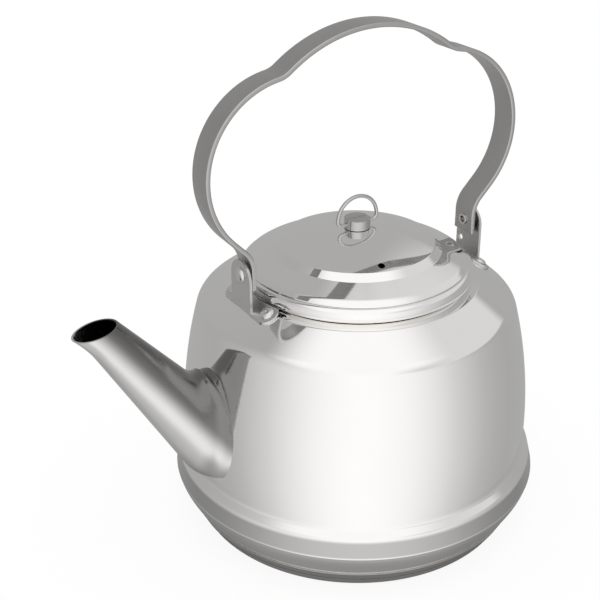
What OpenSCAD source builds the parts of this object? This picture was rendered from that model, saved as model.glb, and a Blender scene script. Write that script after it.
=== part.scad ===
// Stainless steel stove kettle with a tall strip bail, a lift-off lid and an oval cone spout.
// Units are millimetres. +Z is up, the spout points along -X, and the origin is the centre
// of the underside. Every piece is a solid of its own, in its own module.

/* [Body] */
// Diameter over the rolled bead near the foot
bead_d = 238.8; // [234:0.2:250]
// Height of the fullest line of that bead
bead_h = 31; // [26:0.5:33]
// Height of the bead's upper edge
bead_top_h = 42.2; // [40.5:0.1:43.5]
// How far the bead's side leans in up to that edge
bead_lean = 2.7; // [1.5:0.1:3.6]
// Radius of the rounding on that edge
bead_edge_r = 4; // [2:0.5:5]
// Height where the ledge on top of the bead meets the wall
waist_h = 46.6; // [46:0.1:52]
// Radius of the bend there
waist_bend_r = 3; // [2:0.5:4]
// Diameter of the wall just above the bead
wall_d = 225; // [216:1:228]
// Height where the wall starts to draw in
wall_full_h = 62; // [58:1:70]
// Radius of the gentle bow that the upper wall follows
wall_bow_r = 310; // [290:5:420]
// Height where the wall turns into the shoulder
shoulder_h = 142.5; // [138:0.5:146]
// Radius of that turn
shoulder_turn_r = 12; // [8:0.5:16]
// Sheet thickness of the body
body_t = 0.8; // [0.6:0.1:1.4]

/* [Neck] */
// Radius of the circle that the rolled neck ring follows
neck_r = 68.6; // [64:0.2:71]
// Height of the centre of the neck ring's roll
neck_h = 167.2; // [163:0.2:170]
// Radius of the roll, seen as the bright ring under the lid
neck_roll_r = 4.9; // [3.5:0.1:5.5]
// Sheet thickness of the roll
neck_t = 0.9; // [0.6:0.1:1.3]

/* [Base] */
// Diameter of the underside
base_d = 210; // [196:1:216]
// Diameter of the body where the base cap ends
seam_d = 220.4; // [214:0.2:226]
// Height of the base cap's rim
seam_h = 12.2; // [10:0.2:14]
// Height of the underside of the body's floor, above the heat-spreading core
floor_h = 8; // [6:0.5:10]
// Sheet thickness of the base cap
cap_t = 0.8; // [0.6:0.1:1.2]

/* [Spout] */
// Distance from the kettle's axis to the middle of the mouth
spout_reach = 175.6; // [168:0.2:182]
// Height of the middle of the mouth
spout_mouth_h = 168.8; // [156:0.2:175]
// Tilt of the mouth, which is highest at its back
spout_mouth_tilt = 10.5; // [4:0.5:14]
// Length of the mouth, from its back edge to its lip
spout_mouth_len = 28; // [24:0.2:32]
// Width of the mouth
spout_mouth_w = 21.4; // [18:0.2:26]
// How far the pouring lip curls forward
spout_lip = 3.6; // [1:0.2:5]
// Height where the spout's back meets the wall
spout_root_top = 115.6; // [108:0.2:120]
// Height where the straight line of its front would meet the wall
spout_root_bottom = 37; // [34:0.5:42]
// How far the foot of its front is tucked in to the wall from that line
spout_tuck = 15; // [11:0.5:18]
// Width of the spout where it meets the wall
spout_root_w = 70; // [62:1:74]
// How far its foot flares out on each side to that width
spout_flare = 4; // [2:0.5:6]
// How far the back of the spout sweeps up to meet the wall
spout_sweep = 7; // [3:0.5:9]
// Sheet thickness of the spout
spout_t = 1; // [0.7:0.1:1.6]
// Diameter of each strainer hole in the wall behind the spout
strainer_hole_d = 6; // [4:0.5:7]
// Distance between strainer holes
strainer_pitch = 11; // [9:0.5:12]

/* [Bail] */
// Width of the bail's strip
bail_w = 18; // [14:0.5:22]
// Thickness of the strip
bail_t = 3; // [2:0.1:4]
// How far the bail and its ears stand back from the kettle's axis, away from the spout
bail_shift = 3.6; // [0:0.1:4.5]
// Distance from the bail's middle to the middle of the strip at each end
bail_end_r = 81.5; // [80.5:0.1:83]
// Height of the pivots
pivot_h = 181; // [179:0.5:186]
// Length of the strip below the pivot
bail_tail = 8; // [7.5:0.5:9.5]
// Height of the middle of the strip at the crown
bail_top_h = 319.8; // [305:1:335]
// Radius of the crown
crown_r = 91.5; // [84:0.5:98]
// How far the crown turns on each side
crown_turn = 37.4; // [34:0.2:41]
// Radius of the dent beside the crown
dent_r = 16.5; // [12:0.5:24]
// How far the dent turns back
dent_turn = 28; // [25:0.5:31]
// Radius of each side loop
loop_r = 55.2; // [51:0.2:58]
// How far the side loop turns
loop_turn = 125; // [122:0.5:128]
// Radius of the bend above each pivot
ankle_r = 17; // [12:0.5:17.5]
// Height above the pivot where that bend ends
ankle_h = 4.7; // [3.6:0.1:6]

/* [Ears] */
// Thickness of the ears
ear_t = 1.6; // [1.3:0.1:2.2]
// Width of the ears
ear_w = 23.4; // [22:0.2:26]
// Height of the top of the ears
ear_top_h = 190.2; // [188.8:0.2:192]
// Thickness of the washer between ear and bail
washer_t = 1.5; // [1.5:0.1:1.9]
// Diameter of the washer
washer_d = 10; // [8.5:0.5:10.5]
// Distance of each rivet from the bail's plane
rivet_y = 20; // [19:0.5:23]
// Distance of each rivet from the bail's middle, along the spout's direction
rivet_x = 79; // [78.6:0.1:81]
// Diameter of the rivets' heads
rivet_head_d = 8.8; // [7:0.2:10]
// Height of the rivets' heads
rivet_head_h = 1.5; // [1:0.1:2]
// Diameter of the rivets' shanks
rivet_d = 4; // [3:0.1:5]
// Radius of the rounded foot round each rivet
foot_lobe_r = 6.6; // [6:0.1:7.5]
// Diameter of the small hole low in the rear ear
lock_hole_d = 4.2; // [3:0.2:5]
// Distance of that hole from the ear's edge
lock_hole_in = 4.4; // [4:0.2:6]
// Height of that hole
lock_hole_h = 164.4; // [162.4:0.2:166]

/* [Pivots] */
// Diameter of the pivots' shanks
pivot_d = 6; // [5.4:0.1:6.4]
// Diameter of the pivots' heads
pivot_head_d = 9.6; // [8.8:0.2:10.4]
// Height of the pivots' heads
pivot_head_h = 1.8; // [1.2:0.1:2.4]
// Bore in the hollow inner end of each pivot
pivot_bore_d = 4.2; // [3.4:0.1:4.4]
// Length of that bore
pivot_bore_len = 5; // [3:0.5:6]
// Diameter of the lip that is rolled over the bail
pivot_lip_d = 7.2; // [7:0.1:8.4]
// Length of that lip
pivot_lip_len = 0.9; // [0.6:0.1:1.2]

/* [Lid] */
// Diameter of the lid's edge
lid_d = 139.2; // [137:0.2:141]
// Height of the lid at its middle
lid_top_h = 193.8; // [190:0.2:197]
// Diameter of the raised disc in the middle
lid_disc_d = 98; // [90:1:104]
// How far the disc domes up
lid_disc_rise = 9.2; // [6:0.2:12]
// Radial width of the step down from the disc
lid_step_w = 4.2; // [3:0.2:6]
// Height of that step
lid_step_h = 3.9; // [3:0.1:5]
// How far the skirt falls from the step to the lid's edge
lid_skirt_fall = 7.8; // [6:0.1:10]
// Tilt of the skirt's cone
lid_cone_tilt = 23; // [20:0.5:24.5]
// Radial width of the steeper rim round that cone
lid_rim_w = 3.1; // [2:0.1:4]
// Sheet thickness of the lid
lid_t = 0.8; // [0.6:0.1:1.2]
// Diameter of the steam vent
vent_d = 4.3; // [3:0.1:5]
// Depth that the collar reaches below the lid's edge
collar_depth = 14; // [10:0.5:18]
// Sheet thickness of the collar
collar_t = 0.8; // [0.6:0.1:1.2]

/* [Knob] */
// Diameter of the knob
knob_d = 16.4; // [15:0.2:19]
// Height of the knob
knob_len = 6; // [5:0.2:7.5]
// Width of the shallow groove over the knob
groove_w = 2.6; // [1.5:0.1:3.5]
// Depth of that groove
groove_depth = 0.7; // [0.3:0.1:1]
// Diameter of the ring's wire
wire_d = 2.4; // [2:0.1:2.6]
// Radius of the ring's bow, to the middle of the wire
ring_r = 14.2; // [13:0.2:16]
// Radius of the bends at the foot of the ring
ring_bend_r = 3.2; // [2.6:0.1:3.6]
// Height of the ring's pivots above the knob's underside
ring_pivot_h = 2.6; // [2.4:0.1:3]
// Length of wire inside each side of the knob
ring_grip = 3.2; // [2:0.2:3.6]
// Diameter of the screw that holds the knob
screw_d = 5; // [4:0.5:6]
// Length of the screw inside the knob
screw_grip = 4.4; // [3:0.2:4.6]
// Diameter of the screw's head
screw_head_d = 9; // [8:0.5:11]
// Height of the screw's head
screw_head_h = 2.6; // [2:0.2:4]
// Diameter of the washer under the lid
knob_washer_d = 13; // [11:0.5:16]
// Thickness of that washer
knob_washer_t = 1; // [0.6:0.1:1.6]

/* [Fits] */
// Radial clearance of everything that turns
turn_gap = 0.05; // [0.02:0.01:0.1]
// Gap between a piece and the seat that it rests on
seat_gap = 0.03; // [0.01:0.01:0.1]
// Radial clearance between the collar and the neck ring
collar_gap = 0.7; // [0.4:0.1:1.2]

/* [Hidden] */

$fn = 96;
mirror_steel = [0.82, 0.82, 0.83];
satin_steel = [0.62, 0.62, 0.62];
dark_steel = [0.45, 0.45, 0.46];
aluminium = [0.75, 0.76, 0.78];

// ---- outlines: points are [radius, height] ----

// Points on an arc about a centre, between two angles
function arc(centre, radius, from, to, steps) =
    [for (i = [0:steps]) let (a = from + (to - from) * i / steps)
        centre + radius * [cos(a), sin(a)]];

// Points on the arc from p to q that stands proud of their chord by rise, on the left
function bow(p, q, rise, steps) =
    let (chord = q - p, half = norm(chord) / 2, left = [-chord[1], chord[0]] / norm(chord),
         radius = (half * half + rise * rise) / (2 * rise),
         centre = (p + q) / 2 - left * (radius - rise), spread = asin(half / radius),
         middle = atan2(left[1], left[0]))
    arc(centre, radius, middle + spread, middle - spread, steps);

// Points on the arc of a radius that rounds the corner between p and q
function rounded(p, corner, q, radius, steps) =
    let (to_p = (p - corner) / norm(p - corner), to_q = (q - corner) / norm(q - corner),
         half = acos(to_p * to_q) / 2, leg = radius / tan(half),
         centre = corner + (to_p + to_q) / norm(to_p + to_q) * radius / sin(half),
         start = corner + leg * to_p - centre, end = corner + leg * to_q - centre,
         from = atan2(start[1], start[0]), turn = (atan2(end[1], end[0]) - from + 540) % 360 - 180)
    arc(centre, radius, from, from + turn, steps);

// Unit normal on the left of the line from p to q
function left_of(p, q) = [p[1] - q[1], q[0] - p[0]] / norm(q - p);

// The same outline moved to its left by a distance, with its corners mitred
function inset(points, distance) =
    let (last = len(points) - 1)
    [for (i = [0:last])
        let (before = left_of(points[max(i - 1, 0)], points[max(i, 1)]),
             after = left_of(points[min(i, last - 1)], points[min(i + 1, last)]))
        points[i] + distance * (before + after) / (1 + before * after)];

// A list without its first point, which the run before it ends with
function rest_of(points) = [for (i = [1:len(points) - 1]) points[i]];

// The same list, last point first
function reversed(points) = [for (i = [len(points) - 1:-1:0]) points[i]];

// ---- body outline, from the middle of the floor up to the neck ring ----

bead_r = bead_d / 2;
wall_r = wall_d / 2;
seam_r = seam_d / 2;
base_r = base_d / 2;

// The flank under the bead rounds in as a power curve, which leaves the seam at this angle
flank_power = 1.5;
flank_angle = atan((bead_h - seam_h) / (flank_power * (bead_r - seam_r)));
floor_turn_r = (seam_h - floor_h) / (1 - cos(flank_angle));
floor_flat_r = seam_r - floor_turn_r * sin(flank_angle);

// Circle of the upper wall, and the circle of the shoulder's turn inside it
wall_centre = [wall_r - wall_bow_r, wall_full_h];
waist_angle = asin((waist_h - wall_full_h) / wall_bow_r);
waist = wall_centre + wall_bow_r * [cos(waist_angle), sin(waist_angle)];
wall_end_angle = asin((shoulder_h - wall_full_h) / wall_bow_r);
turn_centre = wall_centre + (wall_bow_r - shoulder_turn_r) * [cos(wall_end_angle), sin(wall_end_angle)];

// The shoulder is a straight cone from that turn to the underside of the neck ring
neck_centre = [neck_r, neck_h];
neck_seat_angle = -37.5;
shoulder_top = neck_centre + (neck_roll_r + seat_gap) * [cos(neck_seat_angle), sin(neck_seat_angle)];
to_neck = shoulder_top - turn_centre;
turn_end_angle = atan2(to_neck[1], to_neck[0]) - acos(shoulder_turn_r / norm(to_neck));
shoulder_normal = [cos(turn_end_angle), sin(turn_end_angle)];
shoulder_low = turn_centre + shoulder_turn_r * shoulder_normal;
shoulder_tilt = 90 - turn_end_angle;

flank_steps = 8;
floor_outline = concat([[0, floor_h]],
    arc([floor_flat_r, floor_h + floor_turn_r], floor_turn_r, -90, flank_angle - 90, 4));
flank_outline = [for (i = [1:flank_steps]) let (u = 1 - i / flank_steps)
    [bead_r - (bead_r - seam_r) * pow(u, flank_power), bead_h - (bead_h - seam_h) * u]];
bead_full = [bead_r, bead_h];
bead_edge = [bead_r - bead_lean, bead_top_h];
bead_outline = concat(rounded(bead_full, bead_edge, waist, bead_edge_r, 6),
    rounded(bead_edge, waist, waist + [0, 1], waist_bend_r, 6));
wall_start_h = bead_outline[len(bead_outline) - 1][1];
wall_start_angle = asin((wall_start_h - wall_full_h) / wall_bow_r);
wall_outline = arc(wall_centre, wall_bow_r, wall_start_angle, wall_end_angle, 12);
turn_outline = arc(turn_centre, shoulder_turn_r, wall_end_angle, turn_end_angle, 8);
body_outline = concat(floor_outline, flank_outline, bead_outline, rest_of(wall_outline),
    rest_of(turn_outline), [shoulder_top]);

// Height of the shoulder's cone at a radius
function shoulder_z(r) = shoulder_top[1] - (r - shoulder_top[0]) * tan(shoulder_tilt);

// Everything inside the body's outer skin
module body_envelope() {
    rotate_extrude()
        polygon(concat(body_outline, [[0, shoulder_top[1]]]));
}

// ---- strainer: rows of holes behind the spout, inside the outline of its root ----

strainer_mid_h = (spout_root_top + waist_h) / 2;
strainer_half_h = (spout_root_top - waist_h) / 2 - strainer_hole_d;
strainer_half_w = spout_root_w / 2 - strainer_hole_d;
strainer_rows = floor(strainer_half_h / strainer_pitch);
strainer_columns = floor(strainer_half_w / strainer_pitch);

module strainer_holes() {
    reach = wall_r + bead_r;
    for (row = [-strainer_rows:strainer_rows], column = [-strainer_columns:strainer_columns])
        if (norm([row * strainer_pitch / strainer_half_h, column * strainer_pitch / strainer_half_w]) <= 1)
            translate([0, column * strainer_pitch, strainer_mid_h + row * strainer_pitch])
                rotate([0, -90, 0])
                    cylinder(d = strainer_hole_d, h = reach);
}

// ---- rivet places on the shoulder, shared by the ears, the rivets and the body ----

// How much further out than centred the ear of a side stands
function stand(front) = front ? -bail_shift : bail_shift;

// Puts its children on the shoulder at each rivet of a rear ear, +Z out of the sheet
module at_rivets(out) {
    rivet_r = norm([rivet_x + out, rivet_y]);
    for (side = [-1, 1])
        rotate([0, 0, side * atan2(rivet_y, rivet_x + out)])
            translate([rivet_r, 0, shoulder_z(rivet_r)])
                rotate([0, shoulder_tilt, 0])
                    children();
}

// Puts its children on the rear side, or turned round to the spout's side
module at_side(front) {
    rotate([0, 0, front ? 180 : 0])
        children();
}

module rivet_holes(out) {
    at_rivets(out)
        translate([0, 0, -3 * body_t])
            cylinder(d = rivet_d + 2 * seat_gap, h = 3 * body_t + 3 * ear_t);
}

module body_shell() {
    color(mirror_steel)
        difference() {
            rotate([0, 0, 90])
                rotate_extrude()
                    polygon(concat(body_outline, reversed(inset(body_outline, body_t))));
            strainer_holes();
            for (front = [false, true])
                at_side(front)
                    rivet_holes(stand(front));
        }
}

module neck_ring() {
    color(mirror_steel)
        rotate_extrude()
            translate(neck_centre)
                difference() {
                    circle(r = neck_roll_r);
                    circle(r = neck_roll_r - neck_t);
                }
}

// ---- base: an aluminium core under the floor, closed by a pressed steel cap ----

cap_rim_r = seam_r + seat_gap + cap_t;
cap_corner_r = 1.6;
cap_slope = (cap_rim_r - base_r) / seam_h;

// Radius inside the cap's wall at a height
function cap_inner_r(z) = base_r + cap_slope * z - cap_t * norm([1, cap_slope]);

// The cap's inner corner is cut off between these two points
cap_corner_low = [cap_inner_r(0) - cap_corner_r / 2, cap_t];
cap_corner_high = [cap_inner_r(2 * cap_corner_r), 2 * cap_corner_r];

module base_core() {
    top = floor_h - seat_gap;
    color(aluminium)
        rotate_extrude()
            polygon([[0, cap_t + seat_gap], cap_corner_low + [-seat_gap, seat_gap],
                     cap_corner_high + [-2 * seat_gap, 0], [cap_inner_r(top) - 2 * seat_gap, top],
                     [0, top]]);
}

module base_cap() {
    corner = arc([base_r - cap_corner_r, cap_corner_r], cap_corner_r, -90, 0, 4);
    color(dark_steel)
        rotate_extrude()
            polygon(concat([[0, 0]], corner, [[cap_rim_r, seam_h], [seam_r + seat_gap, seam_h]],
                [cap_corner_high, cap_corner_low, [0, cap_t]]));
}

// ---- spout: oval ribs from the wall to a tilted mouth, skinned as one sheet ----

spout_sides = 32;
spout_start = -0.14;
spout_ribs = [spout_start, -0.06, -0.035, -0.01, 0.015, 0.04, 0.065,
    0.09, 0.12, 0.155, 0.2, 0.4, 0.65, 0.88, 0.93, 0.97, 1];
sweep_reach = 0.22;
tuck_reach = 0.2;
flare_start = -0.05;
flare_reach = 0.12;
lip_reach = 0.12;
spout_root_x = wall_r - 2;
mouth_half = spout_mouth_len / 2 * [cos(spout_mouth_tilt), sin(spout_mouth_tilt)];
mouth_back = [-spout_reach, spout_mouth_h] + mouth_half;
mouth_front = [-spout_reach, spout_mouth_h] - mouth_half + [spout_lip, 0];
root_back = [-spout_root_x, spout_root_top];
root_front = [-spout_root_x, spout_root_bottom];

// Back and front edge of the rib at a share u of the way along, as [x, z]
function rib_back(u) = root_back + (mouth_back - root_back) * u
    + [0, spout_sweep * pow(max(0, 1 - max(u, 0) / sweep_reach), 2)];
function rib_front(u) = root_front + (mouth_front - root_front) * u
    + [spout_tuck * pow(max(0, 1 - max(u, 0) / tuck_reach), 2)
       - spout_lip * pow(max(0, (u - 1 + lip_reach) / lip_reach), 2), 0];
function rib_half_w(u) =
    let (foot_w = spout_root_w - 2 * spout_flare, near = min(1, 1 - (u - flare_start) / flare_reach))
    (foot_w + (spout_mouth_w - foot_w) * u) / 2 + spout_flare * pow(max(0, near), 2);

// One rib's points; sheet is how far they lie inside the outer skin
function rib(u, sheet) =
    let (middle = (rib_back(u) + rib_front(u)) / 2, half = (rib_back(u) - rib_front(u)) / 2,
         inner_half = half * (1 - 1.2 * sheet / norm(half)), half_w = rib_half_w(u) - sheet)
    [for (i = [0:spout_sides - 1]) let (a = 360 * i / spout_sides)
        [middle[0] + inner_half[0] * cos(a), half_w * sin(a), middle[1] + inner_half[1] * cos(a)]];

// A closed solid between the outer ribs and, if sheet is over 0, the inner ones
module spout_skin(sheet, first, last) {
    ribs = [for (u = spout_ribs) if (u >= first && u <= last) u];
    count = len(ribs);
    rings = concat([for (u = ribs) rib(u, 0)], [for (k = [count - 1:-1:0]) rib(ribs[k], sheet)]);
    points = [for (ring = rings) for (p = ring) p];
    faces = [for (k = [0:2 * count - 1]) for (i = [0:spout_sides - 1])
        let (next = (k + 1) % (2 * count), j = (i + 1) % spout_sides,
             a = k * spout_sides + i, b = k * spout_sides + j,
             c = next * spout_sides + j, d = next * spout_sides + i)
        each [[a, b, c], [a, c, d]]];
    polyhedron(points, faces);
}

module spout() {
    color(satin_steel)
        difference() {
            spout_skin(spout_t, spout_start, 1);
            body_envelope();
        }
}

// ---- ears: each stands beside its end of the bail, on a foot riveted to the shoulder ----

bail_outer_x = bail_end_r + bail_t / 2;
bail_inner_x = bail_end_r - bail_t / 2;
ear_inner_x = bail_outer_x + washer_t + 2 * turn_gap;
ear_outer_x = ear_inner_x + ear_t;
ear_arch_h = ear_top_h - ear_w / 2;
foot_clear_r = neck_r + neck_roll_r + 0.6;

// Point where the line from p touches a circle, on its right seen from p
function touch(p, centre, radius) =
    let (away = p - centre, a = atan2(away[1], away[0]) + acos(radius / norm(away)))
    centre + radius * [cos(a), sin(a)];

// Plan of the foot: two round lobes, joined to the line of the ear
module foot_plan(out) {
    edge = [ear_outer_x + out, ear_w / 2];
    rivet_spot = [rivet_x + out, rivet_y];
    difference() {
        union() {
            for (side = [0, 1])
                mirror([0, side, 0]) {
                    translate(rivet_spot)
                        circle(r = foot_lobe_r);
                    polygon([[edge[0], 0], edge, touch(edge, rivet_spot, foot_lobe_r),
                             rivet_spot, rivet_spot - [foot_lobe_r, 0], [foot_clear_r - 1, 0]]);
                }
        }
        circle(r = foot_clear_r);
    }
}

// Layer of the ears' sheet lying on the shoulder
module foot_layer() {
    low_end = shoulder_top + [24, -24 * tan(shoulder_tilt)];
    under = seat_gap * shoulder_normal;
    over = ear_t * shoulder_normal;
    rotate_extrude()
        polygon([shoulder_top + under, low_end + under, low_end + over, shoulder_top + over]);
}

module ear(out, lock_hole) {
    inner_x = ear_inner_x + out;
    foot_middle_h = shoulder_z(inner_x + ear_t) + ear_t / 2;
    difference() {
        union() {
            intersection() {
                foot_layer();
                linear_extrude(ear_top_h)
                    foot_plan(out);
            }
            translate([inner_x, -ear_w / 2, foot_middle_h])
                cube([ear_t, ear_w, ear_arch_h - foot_middle_h]);
            translate([inner_x, 0, ear_arch_h])
                rotate([0, 90, 0])
                    cylinder(d = ear_w, h = ear_t);
        }
        translate([inner_x - 1, 0, pivot_h])
            rotate([0, 90, 0])
                cylinder(d = pivot_d + 2 * seat_gap, h = ear_t + 2);
        if (lock_hole)
            translate([inner_x - 1, ear_w / 2 - lock_hole_in, lock_hole_h])
                rotate([0, 90, 0])
                    cylinder(d = lock_hole_d, h = ear_t + 2);
        rivet_holes(out);
    }
}

module front_ear() {
    color(satin_steel)
        at_side(true)
            ear(stand(true), false);
}

module rear_ear() {
    color(satin_steel)
        at_side(false)
            ear(stand(false), true);
}

// Outline of a low dome of a diameter and height that stands on height zero
function dome(diameter, height) =
    bow([0, height], [diameter / 2, 0], 0.12 * diameter, 6);

// Ear rivet: dome outside, shank through foot and shell, flat set head inside
module rivet() {
    seat = ear_t + seat_gap;
    inside = -body_t - seat_gap;
    set_h = 0.9;
    set_r = 0.85 * rivet_d;
    rotate_extrude()
        polygon(concat([for (p = dome(rivet_head_d, rivet_head_h)) p + [0, seat]],
            [[rivet_d / 2, seat], [rivet_d / 2, inside], [set_r, inside],
             [set_r, inside - set_h], [0, inside - set_h]]));
}

module front_ear_rivets() {
    color(satin_steel)
        at_side(true)
            at_rivets(stand(true))
                rivet();
}

module rear_ear_rivets() {
    color(satin_steel)
        at_side(false)
            at_rivets(stand(false))
                rivet();
}

// ---- pivots: tubular rivets held in the ears, on which the bail turns ----

// Pivot along +Z from its inner end; the bail's inner face is at height zero
module pivot() {
    lip_top = -turn_gap;
    lip_end = lip_top - pivot_lip_len;
    head_seat = ear_outer_x - bail_inner_x + seat_gap;
    difference() {
        rotate_extrude()
            polygon(concat([[0, lip_end], [pivot_lip_d / 2, lip_end], [pivot_lip_d / 2, lip_top],
                            [pivot_d / 2, lip_top], [pivot_d / 2, head_seat]],
                reversed([for (p = dome(pivot_head_d, pivot_head_h)) p + [0, head_seat]])));
        translate([0, 0, lip_end - 1])
            cylinder(d = pivot_bore_d, h = pivot_bore_len + 1);
    }
}

module at_pivot(front) {
    at_side(front)
        translate([bail_inner_x + stand(front), 0, pivot_h])
            rotate([0, 90, 0])
                children();
}

module front_pivot() {
    color(satin_steel)
        at_pivot(true)
            pivot();
}

module rear_pivot() {
    color(satin_steel)
        at_pivot(false)
            pivot();
}

module pivot_washer() {
    translate([0, 0, bail_t + turn_gap])
        difference() {
            cylinder(d = washer_d, h = washer_t);
            translate([0, 0, -1])
                cylinder(d = pivot_d + 2 * seat_gap, h = washer_t + 2);
        }
}

module front_washer() {
    color(satin_steel)
        at_pivot(true)
            pivot_washer();
}

module rear_washer() {
    color(satin_steel)
        at_pivot(false)
            pivot_washer();
}

// ---- bail: one flat strip bent through tangent arcs, the same on both sides ----

// Next run of a path that holds [points, heading]; a turn is positive to the left
function bend(path, radius, turn, steps) =
    let (start = path[0][len(path[0]) - 1], heading = path[1], side = sign(turn),
         centre = start + side * radius * [-sin(heading), cos(heading)], from = heading - side * 90)
    [concat(path[0], [for (i = [1:steps]) let (a = from + turn * i / steps)
        centre + radius * [cos(a), sin(a)]]), heading + turn];

crown_path = bend([[[0, 0]], 0], crown_r, -crown_turn, 10);
dent_path = bend(crown_path, dent_r, dent_turn, 7);
loop_path = bend(dent_path, loop_r, -loop_turn, 28);
loop_end = loop_path[0][len(loop_path[0]) - 1];
ankle_turn = -90 - loop_path[1];
// Straight run that brings the ankle's bend down onto the line of the pivot
leg_run = (loop_end[0] - bail_end_r - ankle_r * (1 - cos(ankle_turn))) / -cos(loop_path[1]);
leg_low_h = pivot_h + ankle_h + ankle_r * sin(ankle_turn);
loop_low_h = leg_low_h - leg_run * sin(loop_path[1]);
// Crown, dents and loops are drawn in height to fill the room between the crown and the legs
draw_in = (bail_top_h - loop_low_h) / -loop_end[1];
loop_points = [for (p = loop_path[0]) [p[0], bail_top_h + draw_in * p[1]]];
leg_end = [loop_end[0] + leg_run * cos(loop_path[1]), leg_low_h];
ankle_path = bend([concat(loop_points, [leg_end]), loop_path[1]], ankle_r, ankle_turn, 8);
bail_half = concat(ankle_path[0], [[bail_end_r, pivot_h - bail_tail]]);

module bail_side() {
    edge_outer = inset(bail_half, bail_t / 2);
    edge_inner = inset(bail_half, -bail_t / 2);
    rotate([90, 0, 0])
        linear_extrude(bail_w, center = true)
            polygon(concat(edge_outer, reversed(edge_inner)));
}

module bail_handle() {
    color(satin_steel)
        difference() {
            translate([bail_shift, 0, 0]) {
                bail_side();
                mirror([1, 0, 0])
                    bail_side();
            }
            for (front = [false, true])
                at_pivot(front)
                    translate([0, 0, -1])
                        cylinder(d = pivot_d + 2 * turn_gap, h = bail_t + 2);
        }
}

// ---- lid: domed disc, step and rounded skirt that sits on the neck ring ----

lid_r = lid_d / 2;
disc_r = lid_disc_d / 2;
lid_edge_h = neck_h + neck_roll_r + seat_gap;
skirt_edge = [lid_r, lid_edge_h + lid_t];
// The lid is pressed to this share of the height that its disc, step and skirt add up to
press = (lid_top_h - skirt_edge[1]) / (lid_disc_rise + lid_step_h + lid_skirt_fall);
disc_edge = [disc_r, lid_top_h - press * lid_disc_rise];
step_foot = disc_edge + [lid_step_w, -press * lid_step_h];
rim_in = lid_r - lid_rim_w;
rim_edge = [rim_in, step_foot[1] - press * tan(lid_cone_tilt) * (rim_in - step_foot[0])];
lid_bend_r = 1.4;
rim_round_r = 12;
disc_steps = 16;
lid_disc_outline = bow([0, lid_top_h], disc_edge, press * lid_disc_rise / 4, disc_steps);
lid_outline = concat([for (p = lid_disc_outline) if (p[0] < disc_r - lid_bend_r) p],
    rounded(lid_disc_outline[disc_steps - 1], disc_edge, step_foot, lid_bend_r, 4),
    rounded(disc_edge, step_foot, rim_edge, lid_bend_r, 4),
    rounded(step_foot, rim_edge, skirt_edge, rim_round_r, 4), [skirt_edge, [lid_r, lid_edge_h]]);
lid_inside = inset([for (i = [0:len(lid_outline) - 2]) lid_outline[i]], -lid_t);
lid_under = concat([for (p = lid_inside) if (p[0] < lid_r - lid_t) p], [[lid_r - lid_t, lid_edge_h]]);

// The vent lies just inside the edge of the disc, in this direction from the axis
vent_azimuth = -104;
vent_r = disc_r - 5;

module lid_shell() {
    color(mirror_steel)
        difference() {
            rotate_extrude()
                polygon(concat(lid_outline, reversed([for (p = lid_under) [max(p[0], 0), p[1]]])));
            rotate([0, 0, vent_azimuth])
                translate([vent_r, 0, lid_edge_h])
                    cylinder(d = vent_d, h = lid_top_h);
            translate([0, 0, lid_edge_h])
                cylinder(d = screw_d + 2 * seat_gap, h = lid_top_h);
        }
}

collar_r = neck_r - neck_roll_r - collar_gap;
collar_low_h = lid_edge_h - collar_depth;

// Height of the lid's underside at a radius, read off its outline
function under_lid(r) = lookup(r, lid_under);

module lid_collar() {
    color(satin_steel)
        rotate_extrude()
            polygon([[collar_r - collar_t, collar_low_h], [collar_r, collar_low_h],
                     [collar_r, under_lid(collar_r) - seat_gap],
                     [collar_r - collar_t, under_lid(collar_r - collar_t) - seat_gap]]);
}

// ---- knob: turned button, screwed from below, with a wire ring in its sides ----

knob_r = knob_d / 2;
knob_h = lid_top_h + seat_gap;
ring_pivot_z = knob_h + ring_pivot_h;
screw_hole_d = screw_d + 2 * seat_gap;
// The washer lies flat against the domed lid, which it meets at its own rim
washer_top_h = under_lid(knob_washer_d / 2) - seat_gap;

module knob() {
    color(mirror_steel)
        difference() {
            translate([0, 0, knob_h])
                cylinder(r = knob_r, h = knob_len);
            translate([-knob_r, -groove_w / 2, knob_h + knob_len - groove_depth])
                cube([2 * knob_r, groove_w, 2 * groove_depth]);
            translate([0, 0, knob_h - 1])
                cylinder(d = screw_hole_d, h = screw_grip + seat_gap + 1);
            for (turn = [0, 180])
                rotate([0, 0, turn])
                    translate([knob_r - ring_grip - 0.2, 0, ring_pivot_z])
                        rotate([0, 90, 0])
                            cylinder(d = wire_d + 2 * turn_gap, h = ring_grip + 1);
        }
}

module knob_screw() {
    washer_low = washer_top_h - knob_washer_t - seat_gap;
    color(satin_steel) {
        translate([0, 0, washer_low - screw_head_h])
            cylinder(d = screw_head_d, h = screw_head_h);
        translate([0, 0, washer_low - screw_head_h / 2])
            cylinder(d = screw_d, h = knob_h + screw_grip - washer_low + screw_head_h / 2);
    }
}

module knob_washer() {
    color(satin_steel)
        translate([0, 0, washer_top_h - knob_washer_t])
            difference() {
                cylinder(d = knob_washer_d, h = knob_washer_t);
                translate([0, 0, -1])
                    cylinder(d = screw_hole_d, h = knob_washer_t + 2);
            }
}

// Half of a wire ring of the given radius, bent over an angle, in the XZ plane
module wire_arc(radius, angle) {
    rotate([90, 0, 0])
        rotate_extrude(angle = angle)
            translate([radius, 0])
                circle(d = wire_d);
}

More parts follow.
